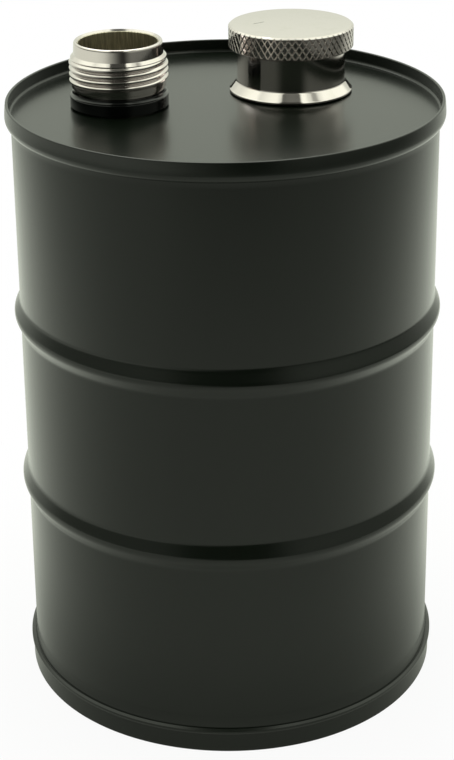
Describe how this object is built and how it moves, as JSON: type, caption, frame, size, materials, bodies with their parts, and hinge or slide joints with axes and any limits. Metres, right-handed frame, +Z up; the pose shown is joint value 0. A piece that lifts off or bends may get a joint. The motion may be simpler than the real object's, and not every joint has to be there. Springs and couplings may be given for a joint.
{
  "type": "drum water flask",
  "caption": "Steel water flask shaped like a small oil drum, with an open threaded neck on its recessed deck and its knurled screw cap stood beside it.",
  "frame": {"origin": "on the drum's axis, at the underside of the foot chime", "axes": "+Z up along the drum's axis; the neck stands on the -X side, and the picture is taken from -Y, 9 degrees round towards +X"},
  "size_m": [0.092, 0.092, 0.1426],
  "materials": {
    "black_paint": "satin black enamel, smooth",
    "polished_steel": "polished stainless steel, nearly a mirror",
    "silicone": "matt translucent white"
  },
  "bodies": {
    "drum": {"shell": "black_paint", "top_head": "black_paint", "bottom_head": "black_paint", "neck_collar": "black_paint", "neck": "polished_steel"},
    "seal": {"cap_seal": "silicone"},
    "cap": {"cap_skirt": "polished_steel", "cap_knob": "polished_steel"}
  },
  "joints": [
    {"name": "cap_lift", "type": "slide", "parent": "drum", "child": "seal", "axis": [0, 0, 1], "range_m": [0, 0.04]},
    {"name": "cap_turn", "type": "hinge", "parent": "seal", "child": "cap", "pos_m": [0.0119, 0.01555, 0.1281], "axis": [0, 0, 1], "continuous": true}
  ]
}
